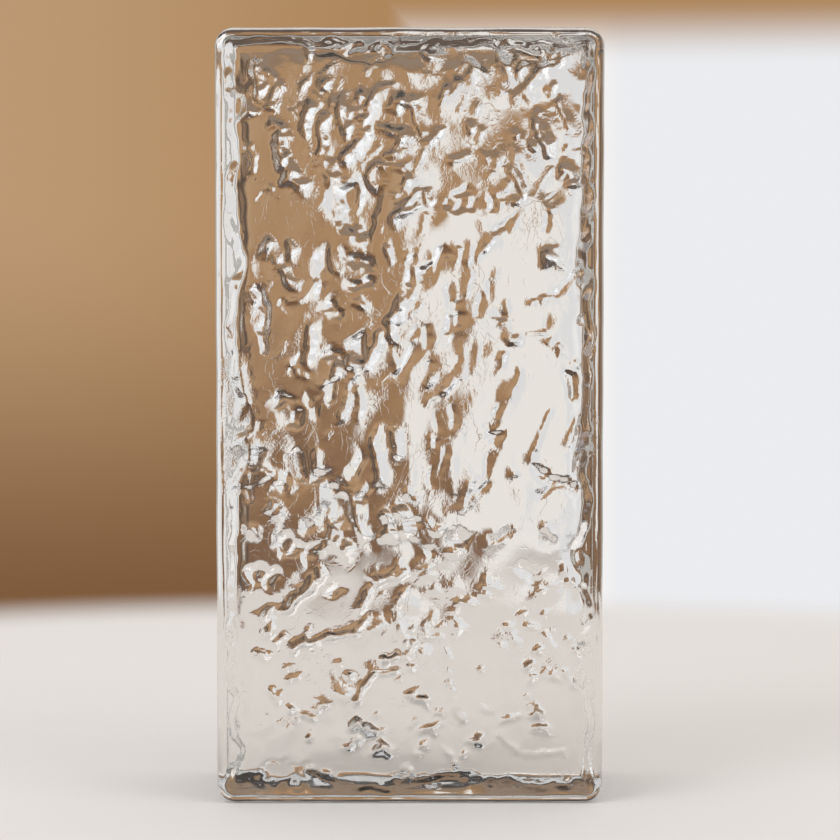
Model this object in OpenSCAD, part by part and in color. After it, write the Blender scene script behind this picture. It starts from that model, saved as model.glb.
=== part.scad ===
// Solid cast glass block, standing on end, with a folded ice relief on its two large faces.
// X runs across the block, Y from the front face to the back face, Z up. The origin is the middle of the base.

/* [Block] */
// Width across the large faces
block_w = 100; // [80:1:150]
// Depth from the crests of the front face to the crests of the back face
block_d = 50; // [40:1:80]
// Height as it stands
block_h = 200; // [150:1:300]

/* [Edges] */
// Radius of the four outline corners, seen from the front
corner_r = 5; // [3:0.5:9]
// Radius of the long edges between a large face and the narrow faces
arris_r = 2.6; // [2:0.1:6]
// Radius of the edges between the front outline and the top or the base, seen from the side
bed_arris_r = 2.6; // [2:0.1:6]

/* [Relief] */
// Depth of the relief from its highest crest to its deepest hollow
relief_depth = 2.4; // [1:0.1:4]
// Width of one fold
fold_w = 14; // [10:0.5:24]
// Length of one fold
fold_l = 25; // [14:0.5:45]
// Width of the creases that part the folds
crease_w = 6; // [3:0.5:9]
// Distance that the folds are pushed sideways as they run
fold_bend = 8; // [0:0.5:14]
// Width of the band inside the rounded edges over which the relief sinks from the rim
calm_w = 7; // [4:0.5:14]
// Spacing of the points that a large face is drawn with
point_gap = 3.1; // [2.9:0.1:6]

/* [Hidden] */
$fn = 96;

// How far cutting shapes run past what they cut
overrun = 4;

// Crests of the relief lie this far inside the rounded body, so that the faces are relief all over
crest_clearance = 0.06;

// How far the rim of a face lies below its crests, as a share of the relief's depth
rim_share = 0.03;

// How the relief is mixed: folds, swells laid over them, and the level of each face that they rise from
fold_share = 0.66;
swell_share = 0.34;
front_level_share = 0.06;
back_level_share = 0.28;
// Share of the depth within which crests and hollows are rounded off
knee_share = 0.14;
// Depth that a crease has on average, as a share of a fold's height, before it fades and deepens as it runs
crease_share = 0.75;

// Broad swells and hollows of the front face, each as
// [place across, place up, half width, half length, height], in shares of the block's width, of its height,
// of its width, of its height and of the relief's depth, then the turn from upright in degrees
swell_shares = [
    [-0.33, 0.045, 0.10, 0.040, 0.80, 0],
    [-0.10, 0.075, 0.07, 0.035, 0.60, 10],
    [0.10, 0.060, 0.12, 0.022, -0.50, 78],
    [0.33, 0.060, 0.13, 0.030, 0.55, 65],
    [-0.30, 0.150, 0.16, 0.030, 0.45, -60],
    [0.02, 0.250, 0.035, 0.080, 0.60, 8],
    [0.26, 0.190, 0.14, 0.070, 0.40, 25],
    [-0.22, 0.300, 0.06, 0.060, -0.55, 55],
    [0.38, 0.330, 0.05, 0.070, -0.50, 0],
    [-0.05, 0.420, 0.05, 0.070, 0.60, -12],
    [-0.30, 0.430, 0.08, 0.040, 0.55, 40],
    [0.24, 0.520, 0.045, 0.085, 0.50, -20],
    [0.08, 0.560, 0.06, 0.060, -0.60, 15],
    [0.36, 0.610, 0.12, 0.050, 0.35, -30],
    [-0.20, 0.600, 0.07, 0.050, -0.60, 50],
    [-0.38, 0.650, 0.05, 0.060, 0.50, 0],
    [0.20, 0.760, 0.07, 0.100, 0.65, -55],
    [-0.12, 0.780, 0.05, 0.070, 0.65, -18],
    [0.34, 0.880, 0.06, 0.060, 0.60, -40],
    [-0.28, 0.880, 0.10, 0.050, -0.45, 30]
];

// Quiet places of the front face, each as [place across, place up, half width, half height] in shares of the
// block's width and height, then the share of the folds' height that is lost there
quiet_shares = [
    [0.30, 0.47, 0.24, 0.16, 0.45],
    [0.05, 0.16, 0.40, 0.09, 0.35]
];

// The folds follow smooth noise over a lattice whose corners each have a random turn
full_turn = 360;
lattice_count = 32;
front_folds = lattice(3);
back_folds = lattice(11);
bends_across = lattice(5);
bends_up = lattice(17);
crease_fades = lattice(23);
// Length of the bends, in folds
bend_share = 1.8;
// Gain that brings the noise to a height of about one
gain_share = 1.55;

columns = ceil((block_w + 2 * overrun) / point_gap);
rows = ceil((block_h + 2 * overrun) / point_gap);
column_gap = (block_w + 2 * overrun) / columns;
row_gap = (block_h + 2 * overrun) / rows;
face_points = (columns + 1) * (rows + 1);

function mix(a, b, t) = a + (b - a) * t;
function ease(t) = t * t * (3 - 2 * t);
function held(t) = min(1, max(0, t));
// Fades out smoothly below the knee, and never falls under zero
function knee(t) = t > knee_share ? t : knee_share * exp(t / knee_share - 1);

function lattice(seed) =
    [for (j = [1:lattice_count]) rands(0, full_turn, lattice_count, seed * lattice_count + j)];
function wrapped(i) = (i % lattice_count + lattice_count) % lattice_count;

// Pull of one lattice corner on a point that lies at the offset [u, v] from it
function pull(turns, i, j, u, v) =
    let (turn = turns[wrapped(j)][wrapped(i)])
    u * cos(turn) + v * sin(turn);

// Smooth noise from about -1 to 1, with one lattice cell to a step of 1
function noise(turns, x, z) =
    let (i = floor(x), j = floor(z), u = x - i, v = z - j)
    gain_share * mix(
        mix(pull(turns, i, j, u, v), pull(turns, i + 1, j, u - 1, v), ease(u)),
        mix(pull(turns, i, j + 1, u, v - 1), pull(turns, i + 1, j + 1, u - 1, v - 1), ease(u)),
        ease(v));

// Flat folds parted by rounded creases that fade in and out, from 0 in the deepest crease to 1 on a fold
function folds(turns, x, z) =
    let (
        across = x / (bend_share * fold_w),
        up = z / (bend_share * fold_l),
        bent_x = x + fold_bend * noise(bends_across, across, up),
        bent_z = z + fold_bend * noise(bends_up, across, up),
        reach = noise(turns, bent_x / fold_w, bent_z / fold_l) * 2 * fold_w / crease_w,
        depth = held(crease_share + noise(crease_fades, x / fold_w, z / fold_l))
    )
    1 - depth * exp(-reach * reach);

// How near a point is to one row's place: 1 in its middle, fading out past its half width and half height
function nearness(x, z, row, turn = 0) =
    let (
        dx = x - row[0] * block_w,
        dz = z - row[1] * block_h,
        u = (dx * cos(turn) + dz * sin(turn)) / (row[2] * block_w),
        v = (dz * cos(turn) - dx * sin(turn)) / (row[3] * block_h)
    )
    exp(-u * u - v * v);
function sum(values, i = 0) = i == len(values) ? 0 : values[i] + sum(values, i + 1);
function swells(x, z) = sum([for (row = swell_shares) row[4] * nearness(x, z, row, row[5])]);
function quiet(x, z) = sum([for (row = quiet_shares) row[4] * nearness(x, z, row)]);

// How much of the relief shows at a point: none on the rim of the face, all of it inside the calm band
function calm(x, z) =
    let (
        gap_x = block_w / 2 - arris_r - abs(x),
        gap_z = block_h / 2 - bed_arris_r - abs(z - block_h / 2)
    )
    ease(held(gap_x / calm_w)) * ease(held(gap_z / calm_w));

// Depth of a face below its crests at a point, where the relief would rise by a share of its depth
function drop(x, z, rise) = relief_depth * mix(rim_share, 1 - knee(1 - knee(1 - rise)), calm(x, z));
function front_drop(x, z) =
    drop(x, z, front_level_share + swell_share * swells(x, z)
        + fold_share * (1 - quiet(x, z)) * folds(front_folds, x, z));
function back_drop(x, z) = drop(x, z, back_level_share + fold_share * folds(back_folds, x, z));

function column_x(i) = -block_w / 2 - overrun + i * column_gap;
function row_z(j) = -overrun + j * row_gap;
function point_index(i, j) = j * (columns + 1) + i;
function back_index(i, j) = face_points + point_index(i, j);

// Outline with round corners, centred on the origin
module rounded_outline(w, h, r) {
    square([w - 2 * r, h], center = true);
    square([w, h - 2 * r], center = true);
    for (sx = [-1, 1], sy = [-1, 1])
        translate([sx * (w / 2 - r), sy * (h / 2 - r)])
            circle(r = r);
}

// The plain block with all its edges rounded, a little deeper than the crests
module rounded_body() {
    body_d = block_d + 2 * crest_clearance;
    translate([0, 0, block_h / 2])
        intersection() {
            rotate([90, 0, 0])
                linear_extrude(height = body_d + 2 * overrun, center = true)
                    rounded_outline(block_w, block_h, corner_r);
            linear_extrude(height = block_h + 2 * overrun, center = true)
                rounded_outline(block_w, body_d, arris_r);
            rotate([90, 0, 90])
                linear_extrude(height = block_w + 2 * overrun, center = true)
                    rounded_outline(body_d, block_h, bed_arris_r);
        }
}

// A slab that runs past the block on all sides, with the relief on its two faces
module relief_slab() {
    front_drops = [for (j = [0:rows], i = [0:columns]) front_drop(column_x(i), row_z(j))];
    back_drops = [for (j = [0:rows], i = [0:columns]) back_drop(column_x(i), row_z(j))];
    front_crest = -block_d / 2 - min(front_drops);
    back_crest = block_d / 2 + min(back_drops);
    front = [
        for (j = [0:rows], i = [0:columns])
            [column_x(i), front_crest + front_drops[point_index(i, j)], row_z(j)]
    ];
    back = [
        for (j = [0:rows], i = [0:columns])
            [column_x(i), back_crest - back_drops[point_index(i, j)], row_z(j)]
    ];
    front_faces = [
        for (j = [0:rows - 1], i = [0:columns - 1], half = [0, 1])
            half == 0
                ? [point_index(i, j), point_index(i + 1, j + 1), point_index(i + 1, j)]
                : [point_index(i, j), point_index(i, j + 1), point_index(i + 1, j + 1)]
    ];
    back_faces = [
        for (j = [0:rows - 1], i = [0:columns - 1], half = [0, 1])
            half == 0
                ? [back_index(i, j), back_index(i + 1, j), back_index(i + 1, j + 1)]
                : [back_index(i, j), back_index(i + 1, j + 1), back_index(i, j + 1)]
    ];
    end_faces = [
        for (i = [0:columns - 1], top = [0, 1])
            top == 0
                ? [point_index(i, 0), point_index(i + 1, 0), back_index(i + 1, 0), back_index(i, 0)]
                : [point_index(i, rows), back_index(i, rows), back_index(i + 1, rows), point_index(i + 1, rows)]
    ];
    side_faces = [
        for (j = [0:rows - 1], right = [0, 1])
            right == 0
                ? [point_index(0, j), back_index(0, j), back_index(0, j + 1), point_index(0, j + 1)]
                : [point_index(columns, j), point_index(columns, j + 1),
                    back_index(columns, j + 1), back_index(columns, j)]
    ];
    polyhedron(
        points = concat(front, back),
        faces = concat(front_faces, back_faces, end_faces, side_faces),
        convexity = 6);
}

module glass_block() {
    color([0.86, 0.87, 0.85, 0.45])
        intersection() {
            rounded_body();
            relief_slab();
        }
}

glass_block();
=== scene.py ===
import math

import bpy
import numpy as np
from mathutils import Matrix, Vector
from mathutils.bvhtree import BVHTree


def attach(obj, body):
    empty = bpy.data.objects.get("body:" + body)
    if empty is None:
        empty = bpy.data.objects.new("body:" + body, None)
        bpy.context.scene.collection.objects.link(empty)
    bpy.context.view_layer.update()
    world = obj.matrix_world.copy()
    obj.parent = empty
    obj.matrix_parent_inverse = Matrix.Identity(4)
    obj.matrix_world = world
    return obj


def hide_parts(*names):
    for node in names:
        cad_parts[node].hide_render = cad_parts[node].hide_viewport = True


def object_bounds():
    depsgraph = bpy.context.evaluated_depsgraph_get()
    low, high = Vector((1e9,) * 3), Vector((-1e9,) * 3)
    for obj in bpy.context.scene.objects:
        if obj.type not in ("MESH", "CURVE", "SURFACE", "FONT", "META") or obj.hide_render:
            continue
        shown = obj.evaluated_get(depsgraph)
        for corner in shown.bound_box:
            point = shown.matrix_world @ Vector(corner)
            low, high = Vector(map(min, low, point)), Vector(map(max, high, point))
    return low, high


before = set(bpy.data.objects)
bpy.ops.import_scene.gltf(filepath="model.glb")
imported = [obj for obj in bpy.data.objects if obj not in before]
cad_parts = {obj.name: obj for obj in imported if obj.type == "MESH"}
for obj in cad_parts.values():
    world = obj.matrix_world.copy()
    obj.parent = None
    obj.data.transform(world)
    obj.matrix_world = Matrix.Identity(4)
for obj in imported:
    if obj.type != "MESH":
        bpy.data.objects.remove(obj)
cadLow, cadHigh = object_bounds()
mm = 0.001

# Of the block's two large faces, side -1 is the front and side 1 is the back.
block = {
    "edgeRadius": 2.5 * mm,
    "cornerRadius": 5.0 * mm,
    "faceGap": {-1: 0.54 * mm, 1: 1.3 * mm},  # between the points of each large face
    "cornerSteps": 6,
    "edgeRows": 5,
    "wallRows": 6,
    "wallWave": 0.12 * mm,  # how uneven the narrow faces are
    "wallCells": (16 * mm, 21 * mm, 19 * mm),  # length of that wave across, from front to back and up
    "wallSeed": 51,
}
blockCentre = (cadLow + cadHigh) / 2
halfW, halfD, halfH = ((cadHigh[axis] - cadLow[axis]) / 2 for axis in range(3))
faceX, faceZ = halfW - block["edgeRadius"], halfH - block["edgeRadius"]
cornerReach = block["cornerRadius"] - block["edgeRadius"]

# Zones of a large face, each as where it starts and where it has come in fully, in millimetres across or up
# from the middle of the face.
zones = {
    "right": (-5, 10),
    "low": (-20, -50),
    "lowSteep": (-20, -65),
    "lowSunk": (-35, -50),
    "aboveLow": (-52, -28),
    "high": (20, 60),
    "highSunk": (50, 70),
    "top": (50, 90),
}


def ease(t):
    t = np.clip(t, 0, 1)
    return t * t * (3 - 2 * t)


def within(zone, place, unit=1):
    start, end = zones[zone]
    return ease((place - start * unit) / ((end - start) * unit))


def lattice(u, v, seed):
    # Smooth noise from about -1 to 1: each corner of a grid of unit cells slopes its own random way.
    size, gain = 64, 1.5
    turns = np.random.default_rng(seed).random((size, size)) * 2 * math.pi
    i, j = np.floor(u).astype(int), np.floor(v).astype(int)
    fu, fv = u - i, v - j

    def pull(di, dj):
        turn = turns[(j + dj) % size, (i + di) % size]
        return np.cos(turn) * (fu - di) + np.sin(turn) * (fv - dj)

    eu, ev = (t * t * t * (t * (t * 6 - 15) + 10) for t in (fu, fv))
    low = pull(0, 0) + (pull(1, 0) - pull(0, 0)) * eu
    high = pull(0, 1) + (pull(1, 1) - pull(0, 1)) * eu
    return gain * (low + (high - low) * ev)


def noise(x, z, cells, side):
    width, height, seed = cells
    return lattice(x / width, z / height, seed + side)


def blurred(values, sigma):
    reach = max(1, int(3 * sigma))
    kernel = np.exp(-0.5 * (np.arange(-reach, reach + 1) / sigma) ** 2)
    kernel /= kernel.sum()
    for axis in (0, 1):
        padding = [(reach, reach) if a == axis else (0, 0) for a in (0, 1)]
        padded = np.pad(values, padding, mode="edge")
        values = np.apply_along_axis(lambda line: np.convolve(line, kernel, "valid"), axis, padded)
    return values


# Strokes laid over the cast folds. Each is a slope that runs up across its width and drops steeply behind.
# A row of the front is read one by one. It holds the stroke's two ends across and up from the middle of the
# face and its width, in millimetres, then which way it throws the light, 1 to the right and down or -1 to the
# left and up, and whether it is crumpled. Cells are the width and height of a noise's cells, then its seed.
strokes = {
    "seed": 7,
    "slope": (0.19, 0.30),
    "lowSlope": (2.6, 0.5),  # added low down, on the left and on the right
    "crumpleSlope": 0.3,  # added where it is crumpled
    "widen": {-1: (1.05, 1.0), 1: (1.35, 1.6)},  # by the way it throws the light, lower down and high up
    "leastWidth": 1.3 * mm,
    "curl": 1.35,  # power that the slope rises with
    "backShare": (0.18, 0.45),  # how wide the drop behind is, as a share of the width
    "leastBack": 0.55 * mm,
    "endSlant": 0.7,
    "endLevel": 0.35,
    "endShare": (0.35, 1.0),  # how long an end's own slope is, as a share of the width
    "sunkShare": 0.5,  # of the strokes near the middle, while high up and low down all are sunk
    "throwRight": (0.93, -0.37),
    "throwLeft": (-0.9, 0.44),
    "throwLow": (0.55, 0.5),  # added to the throw to the left low down
    "throwLowRight": 0.7,  # and added across to that on the right
    "leastFacing": 0.72,
    "facetStep": 2.8,
    # Each warp pushes the strokes out of line: its cell, its push, and its seeds across and up.
    "warp": [
        (6.0 * mm, 1.1 * mm, 61, 81),
        (2.2 * mm, 0.42 * mm, 65, 85),
        (1.2 * mm, 0.28 * mm, 69, 89),
    ],
    "grain": 0.05 * mm,
    "grainCells": (1.7 * mm, 1.9 * mm, 97),
    "grainStart": 0.25,  # share of the slope over which the grain comes in
    "torn": 0.16,  # how far the strokes' edges are torn, as a share of the slope
    "tornCells": (2.3 * mm, 2.6 * mm, 107),
    "tornFine": 0.12,
    "tornFineCells": (1.2 * mm, 1.3 * mm, 109),
    "tornLevel": 0.04,
    "tornLow": 0.8,  # added low down
    "crumple": (0.4, 0.6),  # on every stroke, and added where it is crumpled
    "halo": (0.3, 0.5),  # how far outside a stroke its crumpling starts, and over what it comes in
    # Small strokes strewn between them on both faces.
    "extra": {-1: 120, 1: 110},
    "extraField": (94, 194),
    "extraTurn": (-8, 38),
    "extraWidth": {-1: (0.9, 1.7), 1: (2.2, 4.0)},
    "extraLength": {-1: (2, 7), 1: (5, 15)},
    "extraSlope": {-1: (0.12, 0.40), 1: (0.06, 0.20)},
    "calmRight": {"middle": (26 * mm, -4 * mm), "reach": (26 * mm, 44 * mm), "share": 0.72},
    "calmLow": {"middle": -78 * mm, "reach": 26 * mm, "share": 0.45},
    # Small torn flecks low on the front.
    "flecks": 60,
    "fleckField": 88,
    "fleckHeights": (-88, -42),
    "fleckTurn": (60, 30),
    "fleckWidth": 1.0,
    "fleckLength": (0.8, 3.6),
    "fleckSlope": (0.5, 0.85),
    "front": [
        (-38, 91, -37, 80.5, 2, 1, 1), (-32.5, 85, -34.5, 78.5, 2, 1, 1),
        (-25.5, 86.5, -27.5, 83, 1.5, 1, 1), (-21, 89, -21, 83, 3, 1, 1), (-24, 79.5, -27, 72, 2.5, 1, 1),
        (-21, 77.5, -21.5, 70.5, 2, 1, 1), (-34.5, 75, -31, 69, 3, 1, 0), (-19, 81.5, -13, 73.5, 4, 1, 1),
        (-17.5, 77.5, -15.5, 71.5, 1.5, 1, 0), (-4, 85, -10, 78, 3, 1, 0), (-8.5, 77.5, -11, 72, 2.5, 1, 0),
        (-10, 71.5, -17, 64, 2.5, 1, 0), (-22.5, 69, -17.5, 57.5, 3.5, 1, 0),
        (-17.5, 59, -17, 48, 3.5, 1, 0), (-11, 61, -14.5, 48.5, 4.5, 1, 0),
        (-33.5, 68.5, -26.5, 57.5, 3.5, 1, 1), (-40, 71, -39.5, 63, 1.5, 1, 0),
        (-39.5, 62.5, -33.5, 56, 1.5, -1, 0), (-4.5, 79.5, 2.5, 81.5, 2.5, 1, 1),
        (-6.5, 74.5, 1, 70.5, 3.5, 1, 1), (-6.5, 65.5, -1, 68, 2, 1, 1), (-7.5, 62.5, 1, 65, 2.5, 1, 0),
        (-1.5, 58.5, 1.5, 60.5, 2.5, 1, 0), (-4, 48.5, 0.5, 54, 2.5, 1, 1), (-36, 44, -29, 33, 2.5, 1, 1),
        (-23, 43.5, -23, 35.5, 2.5, 1, 0), (-23, 35, -32, 27, 2, 1, 0), (-29.5, 44.5, -29.5, 39, 2, 1, 1),
        (-35, 35.5, -36, 29.5, 1, 1, 0), (-20.5, 40, -17, 36.5, 1.5, 1, 1), (-17, 43, -9.5, 37.5, 2, 1, 1),
        (-16.5, 34, -10, 34, 2, 1, 0), (-22.5, 30, -19, 25.5, 3, 1, 0), (-24, 24.5, -25, 12, 2.5, 1, 0),
        (-39.5, 33.5, -39, 22.5, 3, 1, 1), (-14.5, 30, -10, 28.5, 2, 1, 0),
        (0.5, 31.5, -5, 21.5, 3.5, 1, 0), (-4.5, 22.5, -11, 12, 3, 1, 0), (-22, 18, -17.5, 15, 3, 1, 1),
        (-14.5, 20, -14.5, 16, 3.5, 1, 1), (-19.5, 11, -11.5, 13.5, 3.5, 1, 1),
        (-20.5, 9.5, -21.5, 4, 1.5, 1, 0), (-13.5, 9, -17, -1, 2, 1, 1), (-12, 8, -12.5, -1.5, 1.5, 1, 0),
        (-33, 15, -23, 9, 1.5, -1, 0), (-34, 7, -30, -1.5, 2.5, 1, 0), (-27.5, 7, -24, 1, 3, 1, 0),
        (-44, 16, -41, 1, 3.5, 1, 1), (-42, -3.5, -41.5, -11.5, 5, 1, 1), (-41, -17, -36.5, -13.5, 3, 1, 0),
        (-36.5, -14, -29, -19.5, 2.5, 1, 0), (-30.5, -9, -29, -16, 2, 1, 1),
        (-22.5, -9, -23.5, -14.5, 2, 1, 0), (-26, -15.5, -21.5, -16, 2, 1, 1),
        (-22, -20.5, -23.5, -27, 2, 1, 0), (-23.5, -28, -28.5, -28, 2, 1, 0),
        (-20.5, -17.5, -18.5, -27, 3.5, 1, 1), (-19, -16, -16.5, -21.5, 2, 1, 1),
        (-12.5, -8.5, -16, -16, 2.5, 1, 0), (-15.5, -17.5, -13, -22.5, 2.5, 1, 0),
        (-13, -22, -10.5, -31.5, 3, 1, 0), (-8, -2.5, -6.5, -17.5, 3, 1, 0),
        (-3.5, -2.5, -1.5, -10, 2.5, 1, 1), (-6.5, -24.5, -3, -32.5, 2.5, 1, 0),
        (-1.5, -23, 0.5, -30, 3, 1, 1), (-35.5, -23, -32.5, -28, 2.5, 1, 1),
        (-39.5, -27.5, -40, -30.5, 2.5, 1, 0), (-32.5, -29, -34.5, -33, 2.5, 1, 0),
        (-20.5, -30.5, -14.5, -36, 4, 1, 1), (-32.5, -32.5, -24.5, -36.5, 4, -1, 0),
        (-23, -39, -35, -50.5, 3.5, -1, 0), (-40.5, -40, -33.5, -43, 3, -1, 0),
        (-10, -41, -1.5, -38.5, 3.5, -1, 0), (-10, -43, -14.5, -50.5, 2.5, -1, 0),
        (-20.5, -46, -16.5, -43, 2, -1, 0), (-1.5, -43.5, -4.5, -49.5, 1.5, -1, 0),
        (-38, -49, -36, -55.5, 4.5, -1, 0), (-31.5, -60, -26, -57, 2.5, -1, 1),
        (-27, -58, -20, -56, 2, -1, 1), (-21, -56.5, -14.5, -54.5, 2.5, -1, 1),
        (-15, -54, -10.5, -52, 1.5, -1, 1), (-35.5, -57.5, -31.5, -56.5, 1, -1, 0),
        (-39.5, -60, -36, -61.5, 1.5, -1, 0), (-37, -70, -30.5, -75.5, 1.5, -1, 0),
        (-30.5, -75.5, -23.5, -78, 1.5, -1, 0), (-15.5, -73.5, -9, -67, 1.5, -1, 0),
        (-9.5, -67, -3, -64.5, 1.5, -1, 0), (-25, -76, -22, -73.5, 1, -1, 0),
        (-27.5, -83.5, -25.5, -81.5, 1, -1, 0), (-8.5, -81, -5, -88, 2, 1, 1),
        (-13.5, -79.5, -9.5, -83, 2.5, 1, 1), (-27, -89.5, -19.5, -92.5, 1.5, -1, 0),
        (6, -50, 4, -55, 1.5, -1, 0), (4, -55, 9, -53.5, 1.5, -1, 0), (11, -53, 15, -55, 1, 1, 0),
        (26.5, -53, 29, -59.5, 2, 1, 0), (30.5, -64, 33.5, -69.5, 2, 1, 0),
        (32.5, -77, 37.5, -82, 2.5, 1, 1), (22.5, -78, 29, -76.5, 2, -1, 0),
        (17.5, -74, 22, -75.5, 1.5, -1, 0), (-0.5, -70.5, 5.5, -73.5, 2.5, -1, 0),
        (12, -78.5, 14.5, -77.5, 1.5, -1, 0), (1.5, -87, 7, -80, 1.5, -1, 0),
        (16, -84.5, 19, -82, 2, -1, 0), (19, -83, 23, -81, 1.5, -1, 0), (23, -81, 29.5, -87.5, 1.5, -1, 0),
        (29.5, -87.5, 41, -85, 1.5, -1, 0), (3, 34, 11, 42, 3.5, -1, 0), (9.5, 42, 19, 43.5, 4, -1, 0),
        (18, 43, 21.5, 49, 2.5, -1, 0), (21, 48.5, 27, 48, 1.5, -1, 0), (26, 48, 28, 52, 1.5, -1, 0),
        (6.5, 54.5, 24, 54, 2, -1, 0), (-2.5, 52.5, 3.5, 55, 2, -1, 0), (3.5, 52.5, 2.5, 47, 1.5, -1, 0),
        (-1.5, 41.5, 2, 43.5, 2, -1, 0), (5.5, 42, 4.5, 36.5, 2, -1, 0), (-0.5, 35, 3, 35.5, 2, -1, 0),
        (14, 38.5, 13.5, 32, 2, -1, 0), (10.5, 35, 10.5, 27.5, 1.5, -1, 0),
        (11.5, 30, 15, 23.5, 2.5, -1, 0), (10.5, 25, 13, 17.5, 2.5, -1, 0), (13, 19, 12, 10, 2, -1, 0),
        (12, 11, 7.5, 7, 2.5, -1, 0), (8, 8, 3.5, 3.5, 1.5, -1, 0), (5, 24, 4.5, 17.5, 1.5, -1, 0),
        (4.5, 18, 2.5, 14.5, 1.5, -1, 0), (0, 21.5, 0.5, 18.5, 1.5, -1, 0), (2, 17.5, -2.5, 10, 2.5, -1, 0),
        (7, 15, 5, 11, 1.5, -1, 0), (19, 31, 18.5, 26, 2, -1, 0), (21.5, 34, 20.5, 30, 1, -1, 0),
        (24.5, 31, 23.5, 26.5, 1.5, -1, 0), (21, 28.5, 22.5, 25, 1.5, 1, 1),
        (22.5, 25.5, 28, 18.5, 2.5, -1, 0), (28, 13.5, 25.5, 4.5, 2, -1, 0), (23, 17, 23, 11.5, 2, -1, 0),
        (17.5, 20, 16, 14, 1, -1, 0), (29, 29.5, 38, 31.5, 1.5, -1, 0), (37.5, 31, 43, 37, 2, -1, 0),
        (34, 21, 43, 13.5, 1.5, -1, 0), (36, 26, 34.5, 22.5, 1, -1, 0), (36.5, 44, 38.5, 38.5, 3.5, 1, 1),
        (42.5, 11, 43, 3.5, 2.5, -1, 0), (34.5, 53.5, 37.5, 54, 1.5, -1, 0),
        (36.5, 52.5, 35, 47.5, 1.5, -1, 0), (7.5, 2, 7.5, -3, 1.5, -1, 0), (12, 3.5, 12, -2.5, 2, -1, 0),
        (23, 3, 22.5, 0.5, 1.5, -1, 0), (23.5, -3.5, 22.5, -8, 2, -1, 0),
        (21.5, -10, 19.5, -15, 1.5, -1, 0), (20.5, -16, 19, -20, 2, -1, 0), (15, -13, 12, -24.5, 3, -1, 0),
        (9.5, -8, 9, -15.5, 1.5, -1, 0), (6.5, -13, 6, -18, 1.5, -1, 0), (4.5, -4, 5.5, -9, 1, -1, 0),
        (7.5, -5.5, 7, -7.5, 1.5, -1, 0), (26, -12.5, 27, -16, 2, -1, 0), (36, 2.5, 33, -2.5, 1.5, -1, 0),
        (33, -2.5, 31, -12.5, 1.5, -1, 0), (43, 0.5, 40, -7.5, 2, -1, 0), (44, -8, 43.5, -15, 2, -1, 0),
        (31, -13, 44.5, -19.5, 1.5, 1, 0), (35.5, -27.5, 38.5, -31.5, 2.5, 1, 0),
        (-0.5, -21.5, 2.5, -29, 2, -1, 0), (6, -27.5, 7.5, -30.5, 2, -1, 0),
        (10, -34.5, 14, -33, 2.5, -1, 0), (5.5, -33.5, 7, -36, 2, -1, 0),
        (11.5, -29, 13.5, -32.5, 2.5, 1, 1), (15, -48, 22, -41, 3, -1, 0), (28.5, -38, 33.5, -43, 2, 1, 0),
        (38, -37, 44.5, -45, 1.5, -1, 0), (13.5, 75, 18.5, 72.5, 4, -1, 0), (2, 70, 7.5, 74.5, 3.5, -1, 0),
        (9.5, 66, 14.5, 68.5, 3, -1, 0), (17.5, 69, 22.5, 65.5, 2.5, -1, 0), (24.5, 73, 35, 69, 2.5, -1, 0),
        (35, 85.5, 37.5, 79.5, 3, -1, 0), (33, 80, 30.5, 74.5, 2.5, -1, 0),
        (17, 54.5, 27.5, 56.5, 2.5, -1, 0), (11.5, 55.5, 17, 58.5, 2.5, -1, 0),
        (21, 58, 26.5, 61.5, 2.5, -1, 0), (35, 55.5, 38.5, 57.5, 2, -1, 0), (-2.5, 55, 2, 59, 2.5, -1, 0),
        (21.5, 47, 28, 51.5, 2, -1, 0), (38, 91, 30.5, 81, 3.5, 1, 0), (9.5, 82.5, 18.5, 85.5, 2.5, 1, 0),
        (4, 94.5, 7.5, 90, 3, 1, 1), (24.5, 91.5, 27, 86.5, 2.5, 1, 1), (31, 90.5, 28.5, 86, 2, 1, 1),
        (38, 95, 42.5, 91, 2.5, 1, 1), (34, 77.5, 37, 66, 2.5, 1, 1), (15.5, 91, 19.5, 87, 2, 1, 1),
        (38.5, 82, 42, 73, 2, 1, 1), (27, 65, 29.5, 57.5, 2, 1, 1), (2, 80.5, 4, 73, 2, 1, 0),
        (-2.5, -46, -0.5, -60, 1.5, 1, 0), (-0.5, -60, 2, -66, 1.5, 1, 0), (8.5, -56, 11.5, -70, 1.5, 1, 0),
        (11.5, -70, 14, -78, 1.5, 1, 0), (35, -55, 43, -70, 1.5, -1, 0),
        (-16, -79.5, -9.5, -80.5, 3, -1, 1),
    ],
}


def busyPlace(x, z):
    # The relief is busiest to the left and at the top, and calm to the right of the middle and low down.
    right, low = strokes["calmRight"], strokes["calmLow"]
    across = (x - right["middle"][0]) / right["reach"][0]
    up = (z - right["middle"][1]) / right["reach"][1]
    calmRight = np.exp(-(across ** 2) - up ** 2)
    calmLow = np.exp(-(((z - low["middle"]) / low["reach"]) ** 2))
    return 1 - right["share"] * calmRight - low["share"] * calmLow


def frontRows(rng):
    return [(row, rng.uniform(*strokes["slope"]), True) for row in strokes["front"]]


def extraRows(rng, side):
    rows = []
    while len(rows) < strokes["extra"][side]:
        x, z = ((rng.random() - 0.5) * reach for reach in strokes["extraField"])
        if side < 0 and rng.random() > busyPlace(x * mm, z * mm):
            continue
        turn = math.radians(rng.normal(*strokes["extraTurn"]))
        half = rng.uniform(*strokes["extraLength"][side]) / 2
        dx, dz = half * math.sin(turn), half * math.cos(turn)
        width = rng.uniform(*strokes["extraWidth"][side])
        lean = rng.choice([1, -1])
        worn = rng.uniform(0, 1) if side < 0 else 0
        slope = rng.uniform(*strokes["extraSlope"][side])
        rows.append(((x - dx, z + dz, x + dx, z - dz, width, lean, worn), slope, True))
    return rows


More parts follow.
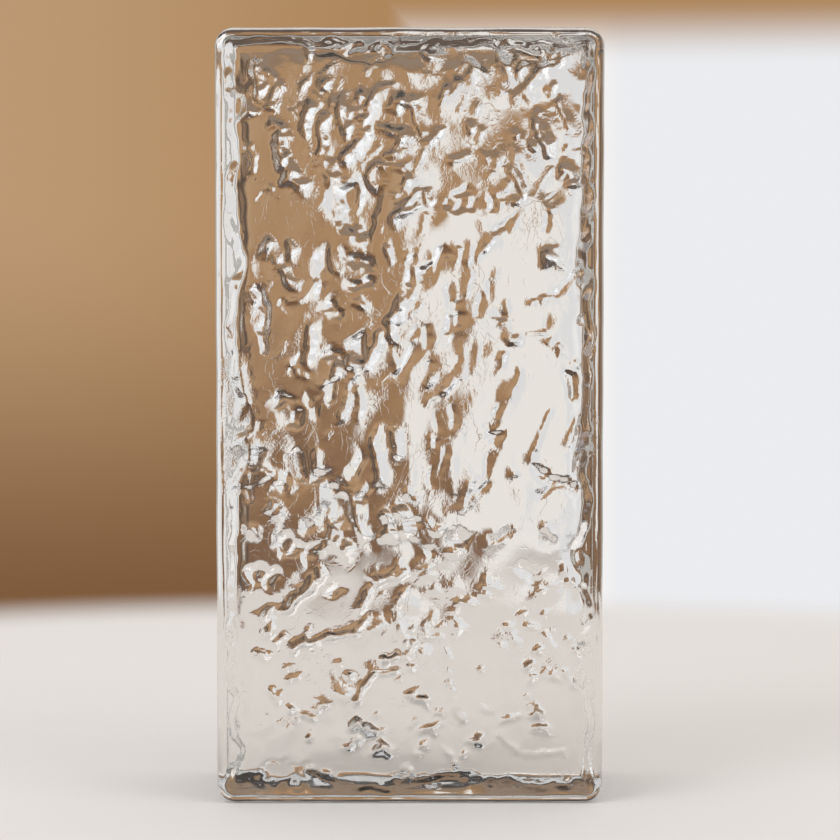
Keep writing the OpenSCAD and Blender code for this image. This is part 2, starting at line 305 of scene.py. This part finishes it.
def fleckRows(rng):
    rows = []
    for _ in range(strokes["flecks"]):
        x = (rng.random() - 0.5) * strokes["fleckField"]
        z = rng.uniform(*strokes["fleckHeights"])
        turn = math.radians(rng.normal(*strokes["fleckTurn"]))
        half = rng.uniform(*strokes["fleckLength"]) / 2
        dx, dz = half * math.sin(turn), half * math.cos(turn)
        slope = rng.uniform(*strokes["fleckSlope"])
        rows.append(((x - dx, z - dz, x + dx, z + dz, strokes["fleckWidth"], -1, 1), slope, False))
    return rows


def throwOf(lean, midX, midZ):
    # Strokes that throw the light to the left throw it more upwards low down.
    if lean > 0:
        return strokes["throwRight"]
    low, right = within("low", midZ), within("right", midX)
    across, up = strokes["throwLeft"]
    lowAcross, lowUp = strokes["throwLow"]
    return across + (lowAcross + strokes["throwLowRight"] * right) * low, up + lowUp * low


def facetsOf(row):
    # A stroke that runs the way it throws the light is cut into facets that lie across it, one behind the
    # other. A facet holds its middle, its length and width, the way it runs and the way it rises.
    x0, z0, x1, z1, width, lean, _ = row
    midX, midZ = (x0 + x1) / 2, (z0 + z1) / 2
    throw = throwOf(lean, midX, midZ)
    tx, tz = (v / math.hypot(*throw) for v in throw)
    length = math.hypot(x1 - x0, z1 - z0)
    ux, uz = (x1 - x0) / length, (z1 - z0) / length
    facing = uz * tx - ux * tz
    if abs(facing) > strokes["leastFacing"]:
        sign = 1 if facing > 0 else -1
        return [(midX, midZ, length, width, ux, uz, sign * uz, -sign * ux)]
    running = abs(ux * tx + uz * tz)
    count = max(1, round(length * running / strokes["facetStep"]))
    facets = []
    for number in range(count):
        share = (number + 0.5) / count
        cx, cz = x0 + (x1 - x0) * share, z0 + (z1 - z0) * share
        facets.append((cx, cz, width / running, length * running / count, -tz, tx, tx, tz))
    return facets


def facetShare(x, z, facet, wide, sense, rng):
    # How far up the slope of one facet each point lies: 0 at its foot, 1 at its crest and below 0 outside.
    cx, cz, length, width, ux, uz, gx, gz = facet
    length, width = length * mm, max(width * mm * wide, strokes["leastWidth"])
    dx, dz = x - cx * mm, z - cz * mm
    along, aside = dx * ux + dz * uz, sense * (dx * gx + dz * gz)
    back = max(rng.uniform(*strokes["backShare"]) * width, strokes["leastBack"])
    share = np.minimum(aside / width + 0.5, 1 - (aside - width / 2) / back)
    for end in (-1, 1):
        # Each end is a slope of its own, cut off at a slant.
        slant = rng.uniform(-strokes["endSlant"], strokes["endSlant"])
        reach = length / 2 + end * along + slant * aside
        share = np.minimum(share, strokes["endLevel"] + reach / (width * rng.uniform(*strokes["endShare"])))
    return share, width


def tornEdges(x, z, side):
    torn = strokes["torn"] * noise(x, z, strokes["tornCells"], side) - strokes["tornLevel"]
    torn += strokes["tornFine"] * noise(x, z, strokes["tornFineCells"], side)
    return torn * (1 + strokes["tornLow"] * within("low", z, mm))


def strokeHeight(x, z, side):
    rng = np.random.default_rng(strokes["seed"] + side)
    rows = frontRows(rng) if side < 0 else []
    rows += extraRows(rng, side)
    rows += fleckRows(rng) if side < 0 else []
    for cell, push, seedX, seedZ in strokes["warp"]:
        pushX = push * lattice(x / cell, z / cell, seedX + side)
        pushZ = push * lattice(x / cell, z / cell, seedZ + side)
        x, z = x + pushX, z + pushZ
    grain = strokes["grain"] * noise(x, z, strokes["grainCells"], side)
    torn = tornEdges(x, z, side)
    lowLeft, lowRight = strokes["lowSlope"]
    always, whereWorn = strokes["crumple"]
    haloStart, haloReach = strokes["halo"]

    height, crumple = np.zeros(x.shape), np.zeros(x.shape)
    for row, slope, steepens in rows:
        x0, z0, x1, z1, _, lean, worn = row
        midX, midZ = (x0 + x1) / 2, (z0 + z1) / 2
        if steepens:
            right = within("right", midX)
            lowSlope = lowLeft * (1 - right) + lowRight * right
            slope *= 1 + lowSlope * within("lowSteep", midZ) + strokes["crumpleSlope"] * worn
        sunkShare = strokes["sunkShare"]
        sunkShare += (1 - sunkShare) * (within("highSunk", midZ) + within("lowSunk", midZ))
        sense = 1 if rng.random() > sunkShare else -1
        wide, wideHigh = strokes["widen"][lean]
        wide += (wideHigh - wide) * within("high", midZ)
        for facet in facetsOf(row):
            share, width = facetShare(x, z, facet, wide, sense, rng)
            share += torn
            shown = (always + whereWorn * worn) * ease((share + haloStart) / haloReach)
            crumple = np.maximum(crumple, shown)
            share = np.maximum(0, share)
            rise = sense * slope * width * share ** strokes["curl"]
            height += rise + grain * ease(share / strokes["grainStart"])
    print("side", side, "of the block:", len(rows), "strokes")
    return height, crumple


# How a large face is put together, from the folds of the solid, the strokes, broad waves, and how far it lies
# below its rim.
relief = {
    "castShare": 0.25,
    "castBlur": 2.0 * mm,
    "strokeBlur": 0.55,  # in points of the face
    "wave": 0.06 * mm,
    "waveCells": (13 * mm, 19 * mm, 33),
    "sink": {"low": 0.42 * mm, "middle": 1.0 * mm, "top": 0.55 * mm},
}

# The rim round a large face. Its lips give where the relief starts along each side of the front: the place
# along the side from its middle, and the width of the rim there, in millimetres.
rim = {
    "bend": 1.7,  # power that the slope down from it follows
    "landShare": 0.5,  # the most of its width that is flat
    "landCells": (9 * mm, 9 * mm, 47),
    "landLevel": 0.5,
    "lipBlur": 4,  # in points of the face
    "wander": 0.15,
    "wanderCells": (12 * mm, 12 * mm, 41),
    "wanderFine": 0.18,
    "wanderFineCells": (5 * mm, 5 * mm, 43),
    "rough": 0.30 * mm,
    "roughCells": (4.4 * mm, 4.4 * mm, 71),
    "roughFine": 0.5,
    "roughFineCells": (2.0 * mm, 2.1 * mm, 73),
    "roughLevel": 0.4,
    "crumple": 0.2,
    "lips": {
        "left": [
            (-99.5, 5.5), (-89.5, 5), (-74, 3.5), (-58.5, 3), (-43, 2), (-38, 2.5), (-22.5, 3), (-16, 2.5),
            (-9.5, 7.5), (1, 6.5), (16, 3), (29, 2.5), (39, 5.5), (55, 3), (68, 3.5), (80.5, 2.5), (91, 3),
            (101.5, 4),
        ],
        "right": [
            (-99.5, 3.5), (-83, 2), (-72.5, 2), (-62.5, 7), (-53.5, 3.5), (-45, 2.5), (-37, 7.5), (-30, 4),
            (-19.5, 2.5), (-13, 4.5), (-2, 3), (11, 3), (29, 3), (37, 4.5), (55, 3), (80.5, 3.5), (98.5, 4),
        ],
        "bottom": [
            (-48.5, 4.5), (-41, 8), (-37.5, 10.5), (-31, 11.5), (-25.5, 10.5), (-23, 6), (-18, 4), (-12, 1.5),
            (-4, 4), (1.5, 5.5), (7.5, 7.5), (17.5, 6), (26.5, 4.5), (35, 3), (40.5, 3), (44.5, 6),
            (48.5, 4.5),
        ],
        "top": [
            (-47.5, 4.5), (-44, 2), (-30.5, 1), (-23, 3), (-14.5, 6.5), (-1.5, 5), (5, 3), (15.5, 2.5),
            (28.5, 3.5), (38.5, 5), (47.5, 2.5),
        ],
    },
}


def rimShares(x, z, side):
    # How far inside the rim each point lies, from 0 on its flat land to 1, and how much relief shows there.
    wander = 1 + rim["wander"] * noise(x, z, rim["wanderCells"], side)
    wander += rim["wanderFine"] * noise(x, z, rim["wanderFineCells"], side)
    land = rim["landShare"] * ease(rim["landLevel"] + noise(x, z, rim["landCells"], side))
    inside, shown = np.ones(x.shape), np.ones(x.shape)
    gaps = {"left": faceX + x, "right": faceX - x, "bottom": faceZ + z, "top": faceZ - z}
    for name, gap in gaps.items():
        along = z if name in ("left", "right") else -side * x
        places, widths = np.array(rim["lips"][name]).T * mm
        width = blurred(np.interp(along, places, widths), rim["lipBlur"])
        share = np.clip((gap / (width * wander) - land) / (1 - land), 0, 1)
        inside = np.minimum(inside, share)
        # The lip is crisp along the sides and the top, and soft along the bottom.
        shown = np.minimum(shown, ease(share) if name == "bottom" else share ** rim["bend"])
    return inside, shown


def faceRelief(x, z, side, cast):
    height, crumple = strokeHeight(x, z, side)
    height = blurred(height, relief["strokeBlur"]) + relief["wave"] * noise(x, z, relief["waveCells"], side)
    height -= relief["castShare"] * (halfD - blurred(cast, relief["castBlur"] / block["faceGap"][side]))
    sink = relief["sink"]
    depth = sink["low"] + (sink["middle"] - sink["low"]) * within("aboveLow", z, mm)
    depth += (sink["top"] - sink["middle"]) * within("top", z, mm)
    height = np.minimum(height - depth, 0)

    # The slope down from the rim is rough.
    inside, shown = rimShares(x, z, side)
    band = 4 * inside * (1 - inside)
    rough = noise(x, z, rim["roughCells"], side) + rim["roughFine"] * noise(x, z, rim["roughFineCells"], side)
    height = height * shown + rim["rough"] * band * (rough - rim["roughLevel"])
    return side * (halfD + np.minimum(height, 0)), np.maximum(crumple, rim["crumple"] * band)


def castHeights(tree, x, z, side):
    heights = np.empty(x.shape)
    for index in np.ndindex(x.shape):
        hit = tree.ray_cast(Vector((x[index], side, z[index])), Vector((0, -side, 0)))[0]
        heights[index] = abs(hit.y)
    return heights


def spacedLines(half, gap):
    edge = np.linspace(0, cornerReach, block["cornerSteps"] + 1)
    straight = half - cornerReach
    middle = np.linspace(-half + cornerReach, straight, max(2, round(2 * straight / gap)) + 1)
    return np.concatenate([-half + edge[:-1], middle, half - edge[::-1][1:]])


def pastCorner(x, z):
    # How far each point lies past the square inside the round corners.
    dx = x - np.clip(x, -faceX + cornerReach, faceX - cornerReach)
    dz = z - np.clip(z, -faceZ + cornerReach, faceZ - cornerReach)
    return dx, dz


def faceGrid(gap):
    x, z = np.meshgrid(spacedLines(faceX, gap), spacedLines(faceZ, gap), indexing="ij")

    # The square corners of the grid are drawn in to round ones.
    dx, dz = pastCorner(x, z)
    length = np.hypot(dx, dz)
    drawn = np.maximum(abs(dx), abs(dz)) / np.where(length > 0, length, 1)
    pull = np.where((dx != 0) & (dz != 0), drawn, 1)
    return x - dx * (1 - pull), z - dz * (1 - pull)


def outlineOf(grid):
    return np.concatenate([grid[:-1, 0], grid[-1, :-1], grid[:0:-1, -1], grid[0, :0:-1]])


class Surface:
    def __init__(self):
        self.points, self.crumples, self.faces = [], [], []
        self.count = 0

    def addPoints(self, x, y, z, crumple=None):
        self.points.append(np.stack([x, y, z + halfH], axis=-1).reshape(-1, 3))
        self.crumples.append(np.zeros(x.size) if crumple is None else crumple.ravel())
        first = self.count
        self.count += x.size
        return np.arange(first, self.count).reshape(x.shape)

    def addQuads(self, corners):
        self.faces += np.stack(corners, axis=-1).reshape(-1, 4).tolist()


def addFace(surface, tree, x, z, side):
    cast = castHeights(tree, x, z + halfH, side)
    y, crumple = faceRelief(x, z, side, cast)
    index = surface.addPoints(x, y, z, crumple)
    corners = [index[:-1, :-1], index[1:, :-1], index[1:, 1:], index[:-1, 1:]]
    surface.addQuads(corners if side < 0 else corners[::-1])
    return index


def addEdge(surface, x, z, index, side):
    # Rows of points round the outline carry on from the face over its rounded edge, and along the wall.
    radius = block["edgeRadius"]
    bend = np.linspace(0, math.pi / 2, block["edgeRows"] + 1)[1:]
    flat = np.linspace(-halfD + radius, halfD - radius, block["wallRows"] + 1)[1:-1]
    steps = [(radius * math.sin(t), side * (halfD - radius + radius * math.cos(t))) for t in bend]
    steps += [(radius, place) for place in flat[::-1]] if side > 0 else []

    ringX, ringZ = outlineOf(x), outlineOf(z)
    outX, outZ = pastCorner(ringX, ringZ)
    outX, outZ = outX / np.hypot(outX, outZ), outZ / np.hypot(outX, outZ)
    cellX, cellY, cellZ = block["wallCells"]
    rows = [outlineOf(index)]
    for reach, place in steps:
        wave = lattice(ringX / cellX + place / cellY, ringZ / cellZ, block["wallSeed"]) - 1
        reach = reach * (1 + block["wallWave"] / radius * wave)
        deep = np.full(ringX.shape, place)
        rows.append(surface.addPoints(ringX + outX * reach, deep, ringZ + outZ * reach))
    for near, far in zip(rows[:-1], rows[1:]):
        near, far = (near, far) if side < 0 else (far, near)
        surface.addQuads([near, far, np.roll(far, -1), np.roll(near, -1)])
    gaps = np.hypot(np.diff(np.append(ringX, ringX[0])), np.diff(np.append(ringZ, ringZ[0])))
    return rows[-1], np.append(0, np.cumsum(gaps))


def stitched(nearRing, farRing):
    # Triangles between two closed rings with different numbers of points.
    near, nearAlong = nearRing
    far, farAlong = farRing
    i, j, triangles = 0, 0, []
    while i < len(near) or j < len(far):
        a, b = near[i % len(near)], far[j % len(far)]
        if j == len(far) or (i < len(near) and nearAlong[i + 1] <= farAlong[j + 1]):
            i += 1
            triangles.append((a, b, near[i % len(near)]))
        else:
            j += 1
            triangles.append((a, b, far[j % len(far)]))
    return triangles


def blockMesh():
    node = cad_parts["glass_block"].data
    tree = BVHTree.FromPolygons([v.co for v in node.vertices], [p.vertices for p in node.polygons])
    surface = Surface()
    rings = []
    for side in (-1, 1):
        x, z = faceGrid(block["faceGap"][side])
        index = addFace(surface, tree, x, z, side)
        rings.append(addEdge(surface, x, z, index, side))
    surface.faces += stitched(*rings)

    mesh = bpy.data.meshes.new("glass_block_surface")
    mesh.from_pydata(np.concatenate(surface.points).tolist(), [], surface.faces)
    mesh.validate()
    mesh.polygons.foreach_set("use_smooth", [True] * len(mesh.polygons))
    worn = mesh.attributes.new("crumple", "FLOAT", "POINT")
    worn.data.foreach_set("value", np.concatenate(surface.crumples))
    return mesh


class Sock:
    def __init__(self, tree, socket):
        self.tree, self.socket = tree, socket

    def node(self, kind, settings=(), output=0, **inputs):
        made = self.tree.nodes.new(kind)
        for key, value in dict(settings).items():
            setattr(made, key, value)
        for key, value in inputs.items():
            # An input is named by its place, as i0, or by its own name.
            target = made.inputs[int(key[1:]) if key[1:].isdigit() else key]
            if isinstance(value, Sock):
                self.tree.links.new(value.socket, target)
            else:
                target.default_value = value
        return Sock(self.tree, made.outputs[output])

    def math(self, operation, a, b=0.0):
        return self.node("ShaderNodeMath", {"operation": operation}, i0=a, i1=b)

    def __add__(self, other):
        return self.math("ADD", self, other)

    def __radd__(self, other):
        return self.math("ADD", other, self)

    def __sub__(self, other):
        return self.math("SUBTRACT", self, other)

    def __rsub__(self, other):
        return self.math("SUBTRACT", other, self)

    def __mul__(self, other):
        return self.math("MULTIPLY", self, other)

    def __rmul__(self, other):
        return self.math("MULTIPLY", other, self)

    def largest(self, other):
        return self.math("MAXIMUM", self, other)

    def least(self, other):
        return self.math("MINIMUM", self, other)

    def ramp(self, low, high):
        settings = {"interpolation_type": "SMOOTHSTEP"}
        return self.node("ShaderNodeMapRange", settings, i0=self, i1=low, i2=high, i3=0.0, i4=1.0)

    def between(self, low, high):
        return self.node("ShaderNodeMix", {"data_type": "RGBA"}, 2, i0=self, i6=low, i7=high)

    def scaled(self, by):
        return self.node("ShaderNodeVectorMath", {"operation": "MULTIPLY"}, i0=self, i1=by)

    def parts(self):
        split = self.node("ShaderNodeSeparateXYZ", i0=self).socket.node
        return [Sock(self.tree, output) for output in split.outputs]


# A noise of the glass has its cells to the metre along each axis, then its settings.
glassLook = {
    "tint": (0.885, 0.865, 0.84, 1),
    "ior": 1.5,
    "absorbColour": (0.90, 0.91, 0.88, 1),
    "absorbDensity": 1.2,
    "roughness": (0.0, 0.035),
    "dullNoise": ((70, 70, 45), {"Detail": 4.0, "Roughness": 0.6}),
    "dullFrom": (0.52, 0.78),
    "patchNoise": ((60, 60, 40), {"Detail": 2.0}),
    "patchFrom": (0.45, 0.70),
    "bumpHeight": 0.06 * mm,
    "rippleNoise": ((620, 620, 420), {"Detail": 3.0, "Distortion": 0.6}),
    "rippleShares": (0.06, 0.3, 1.1),  # of the bump's height: everywhere, in patches and on crumpled strokes
    "grainNoise": ((1900, 1900, 1300), {"Detail": 2.0}),
    "grainShares": (0.01, 0.08, 1.5),
    "veinNoise": ((170, 170, 110), {"Detail": 3.0, "Distortion": 1.2}),
    "veinWidth": 0.022,
    "veinShare": 0.3,
}


def glassMaterial():
    made = bpy.data.materials.new("cast_glass")
    made.use_nodes = True
    tree = made.node_tree
    shader = tree.nodes["Principled BSDF"]
    start = Sock(tree, None)
    place = start.node("ShaderNodeTexCoord", output=3)
    shader.inputs["Base Color"].default_value = glassLook["tint"]
    shader.inputs["IOR"].default_value = glassLook["ior"]
    shader.inputs["Transmission Weight"].default_value = 1.0

    def spread(name):
        cells, settings = glassLook[name]
        return start.node("ShaderNodeTexNoise", i0=place.scaled(cells), Scale=1.0, **settings)

    # Broad dull patches where the mould left the surface less polished.
    smooth, dull = glassLook["roughness"]
    dullness = spread("dullNoise").ramp(*glassLook["dullFrom"]) * (dull - smooth) + smooth
    tree.links.new(dullness.socket, shader.inputs["Roughness"])

    # Fine ripples and grain, strongest on the crumpled strokes, and thin veins in patches.
    crumple = start.node("ShaderNodeAttribute", {"attribute_name": "crumple"}, 2)
    patch = spread("patchNoise").ramp(*glassLook["patchFrom"])

    def strength(shares):
        everywhere, inPatches, onStrokes = shares
        return everywhere + inPatches * patch + onStrokes * crumple

    vein = start.math("ABSOLUTE", spread("veinNoise") - 0.5).ramp(0.0, glassLook["veinWidth"])
    height = spread("rippleNoise") * strength(glassLook["rippleShares"])
    height = height + spread("grainNoise") * strength(glassLook["grainShares"])
    height = height + glassLook["veinShare"] * ((1.0 - vein) * patch)
    bump = start.node("ShaderNodeBump", Height=height, Strength=1.0, Distance=glassLook["bumpHeight"])
    tree.links.new(bump.socket, shader.inputs["Normal"])

    colour, density = glassLook["absorbColour"], glassLook["absorbDensity"]
    absorb = start.node("ShaderNodeVolumeAbsorption", Color=colour, Density=density)
    tree.links.new(absorb.socket, tree.nodes["Material Output"].inputs["Volume"])
    return made


def buildBlock():
    piece = bpy.data.objects.new("glass_block_surface", blockMesh())
    piece.data.materials.append(glassMaterial())
    bpy.context.scene.collection.objects.link(piece)
    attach(piece, "root")
    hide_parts("glass_block")
    print("block surface:", len(piece.data.polygons), "faces")


floorLook = {
    "colour": (0.742, 0.705, 0.675, 1),
    "roughness": 0.9,
    "radius": 0.48,
    "fade": 0.12,  # width of the ring over which it fades out
    "sides": 96,
    "reachShare": 1.02,  # of the radius, so that the straight sides lie outside the fade
}


def floorMaterial():
    made = bpy.data.materials.new("studio_floor")
    made.use_nodes = True
    tree = made.node_tree
    shader = tree.nodes["Principled BSDF"]
    start = Sock(tree, None)
    shader.inputs["Base Color"].default_value = floorLook["colour"]
    shader.inputs["Roughness"].default_value = floorLook["roughness"]
    shader.inputs["Specular IOR Level"].default_value = 0.0
    x, y, _ = start.node("ShaderNodeTexCoord", output=3).parts()
    radius = start.math("SQRT", x * x + y * y)
    alpha = 1.0 - radius.ramp(floorLook["radius"] - floorLook["fade"], floorLook["radius"])
    tree.links.new(alpha.socket, shader.inputs["Alpha"])
    return made


def buildFloor():
    mesh = bpy.data.meshes.new("floor")
    sides = floorLook["sides"]
    turns = np.linspace(0, 2 * math.pi, sides + 1)[:-1]
    reach = floorLook["radius"] * floorLook["reachShare"]
    mesh.from_pydata([(reach * math.cos(t), reach * math.sin(t), 0) for t in turns], [], [list(range(sides))])
    floor = bpy.data.objects.new("floor", mesh)
    mesh.materials.append(floorMaterial())
    bpy.context.scene.collection.objects.link(floor)
    print("floor is laid")


# Colours of the studio's cards, then where each one fades in, in degrees. Turns are to the right from
# straight behind the block, to the left for the warm cards and either way for the plain one. Rises are up
# from level.
studio = {
    "warm": (0.425, 0.242, 0.110, 1),
    "warmLeft": (0.50, 0.315, 0.17, 1),
    "warmLow": (0.20, 0.098, 0.042, 1),
    "warmHigh": (0.28, 0.18, 0.105, 1),
    "warmOver": (0.285, 0.20, 0.14, 1),
    "warmDeep": (0.095, 0.058, 0.038, 1),
    "warmAside": (0.24, 0.145, 0.08, 1),
    "pale": (0.935, 0.91, 0.88, 1),
    "board": (0.83, 0.84, 0.865, 1),
    "paleFar": (0.97, 0.97, 0.97, 1),
    "plain": (0.50, 0.485, 0.465, 1),
    "under": (0.74, 0.69, 0.64, 1),
    # painted shade: a dark strip for the shadowy space past the floor's edge
    "shadeStrip": (0.085, 0.052, 0.034, 1),
    "dim": (0.030, 0.024, 0.020, 1),
    "ceiling": (0.74, 0.75, 0.77, 1),
    "window": (4.5, 4.7, 5.0, 1),
    "windowThrough": (1.0, 1.0, 1.0, 1),
    "ambient": (0.91, 0.90, 0.89, 1),
    "turns": {
        "pale": (-0.7, 0.7),
        "board": (3.4, 4.2),
        "paleFar": (8, 22),
        "plain": (26, 35),
        "warmLeft": (0, 8.5),
        "warmDeep": (8.5, 13.5),
        "warmAside": (15, 18),
    },
    "rises": {
        "warm": (-7.5, 1.5),
        "over": (4.1, 5.5),
        "warmHigh": (5.5, 8),
        "warmOver": (8.5, 11.5),
        "dim": (13, 20),
        "plain": (30, 8),
        # where the strip of painted shade past the floor's edge comes in
        "shadeStrip": (-7.5, -9.5),
        "under": (-20, -30),
        "ceiling": (34, 46),
    },
    # Window panes, each as its middle and how far from there it fades in, as a turn and then as a rise.
    "panes": [((-118, (34, 26)), (28, (26, 18))), ((-148, (11, 7)), (14, (10, 6)))],
}


def buildWorld():
    world = bpy.data.worlds.new("studio")
    bpy.context.scene.world = world
    world.use_nodes = True
    tree = world.node_tree
    start = Sock(tree, None)
    x, y, z = start.node("ShaderNodeTexCoord").parts()
    turn = start.math("ARCTAN2", x, y) * (180 / math.pi)
    rise = start.math("ARCSINE", z) * (180 / math.pi)
    turns, rises = studio["turns"], studio["rises"]

    # A warm card stands to the left and overhead, darker further out, and a pale one to the right.
    leftward = 0 - turn
    warm = leftward.ramp(*turns["warmLeft"]).between(studio["warm"], studio["warmLeft"])
    warm = rise.ramp(*rises["warm"]).between(studio["warmLow"], warm)
    for name in ("warmHigh", "warmOver"):
        warm = rise.ramp(*rises[name]).between(warm, studio[name])
    for name in ("warmDeep", "warmAside"):
        warm = leftward.ramp(*turns[name]).between(warm, studio[name])
    warm = rise.ramp(*rises["dim"]).between(warm, studio["dim"])
    pale = turn.ramp(*turns["board"]).between(studio["pale"], studio["board"])
    pale = turn.ramp(*turns["paleFar"]).between(pale, studio["paleFar"])
    left = 1.0 - turn.ramp(*turns["pale"])
    seen = left.largest(rise.ramp(*rises["over"])).between(pale, warm)

    # Further round it is plain, with a strip of painted shade under the cards, where the shadowy space past
    # the floor's edge would be, and a pale ground and ceiling.
    aside = start.math("ABSOLUTE", turn).ramp(*turns["plain"])
    seen = (aside * rise.ramp(*rises["plain"])).between(seen, studio["plain"])
    seen = rise.ramp(*rises["shadeStrip"]).between(seen, aside.between(studio["shadeStrip"], studio["plain"]))
    for name in ("under", "ceiling"):
        seen = rise.ramp(*rises[name]).between(seen, studio[name])

    # The panes shine in what the glass mirrors, and are only white in what is seen through it.
    rays = start.node("ShaderNodeLightPath").socket.node.outputs
    kinds = ("Camera", "Glossy", "Transmission")
    camera, glossy, through = (Sock(tree, rays[f"Is {kind} Ray"]) for kind in kinds)
    shapes = []
    for (turnMiddle, turnFade), (riseMiddle, riseFade) in studio["panes"]:
        across = start.math("ABSOLUTE", turn - turnMiddle).ramp(*turnFade)
        up = start.math("ABSOLUTE", rise - riseMiddle).ramp(*riseFade)
        shapes.append(across * up)
    lit = through.between(studio["window"], studio["windowThrough"])
    seen = (shapes[0].largest(shapes[1]) * glossy).between(seen, lit)
    colour = (camera + glossy + through).least(1.0).between(studio["ambient"], seen)
    tree.links.new(colour.socket, tree.nodes["Background"].inputs["Color"])
    print("studio is set")


lamps = {
    "window": {"place": (-0.9, -0.9, 1.1), "size": (0.8, 1.0), "power": 7.0, "colour": (0.92, 0.96, 1.0)},
    "fill": {"place": (1.0, -0.7, 1.0), "size": (0.8, 0.8), "power": 3.0, "colour": (1.0, 0.98, 0.95)},
}


def buildLamp(name):
    data = bpy.data.lights.new(name, "AREA")
    data.shape = "RECTANGLE"
    data.size, data.size_y = lamps[name]["size"]
    data.energy = lamps[name]["power"]
    data.color = lamps[name]["colour"]
    lamp = bpy.data.objects.new(name, data)
    lamp.location = lamps[name]["place"]
    lamp.rotation_euler = (blockCentre - lamp.location).to_track_quat("-Z", "Y").to_euler()
    lamp.visible_camera = False
    lamp.visible_transmission = False
    bpy.context.scene.collection.objects.link(lamp)
    print("lamp is hung:", name)


cameraSetup = {
    "distance": 0.75,
    "pitch": 3.0,
    "lens": 121.0,
    "sensor": 36.0,
    "imageSide": 840,
    "blockCentrePx": (410, 413),
}


def buildCamera():
    data = bpy.data.cameras.new("camera")
    data.sensor_width = cameraSetup["sensor"]
    data.lens = cameraSetup["lens"]
    camera = bpy.data.objects.new("camera", data)
    pixel = cameraSetup["sensor"] / cameraSetup["lens"] * cameraSetup["distance"] / cameraSetup["imageSide"]
    middle = cameraSetup["imageSide"] / 2
    aside = (middle - cameraSetup["blockCentrePx"][0]) * pixel
    under = (middle - cameraSetup["blockCentrePx"][1]) * pixel
    pitch = math.radians(cameraSetup["pitch"])
    aim = blockCentre + Vector((aside, 0, -under))
    back = Vector((0, -math.cos(pitch), math.sin(pitch)))
    camera.location = aim + back * cameraSetup["distance"]
    camera.rotation_euler = (math.pi / 2 - pitch, 0, 0)
    bpy.context.scene.collection.objects.link(camera)
    bpy.context.scene.camera = camera
    print("camera is set")


buildBlock()
buildFloor()
buildWorld()
for name in lamps:
    buildLamp(name)
buildCamera()

# Light passes many faces in the glass.
scene = bpy.context.scene
scene.view_settings.view_transform = "Standard"
scene.cycles.max_bounces = 18
scene.cycles.transmission_bounces = 18
scene.cycles.glossy_bounces = 12
scene.cycles.transparent_max_bounces = 16
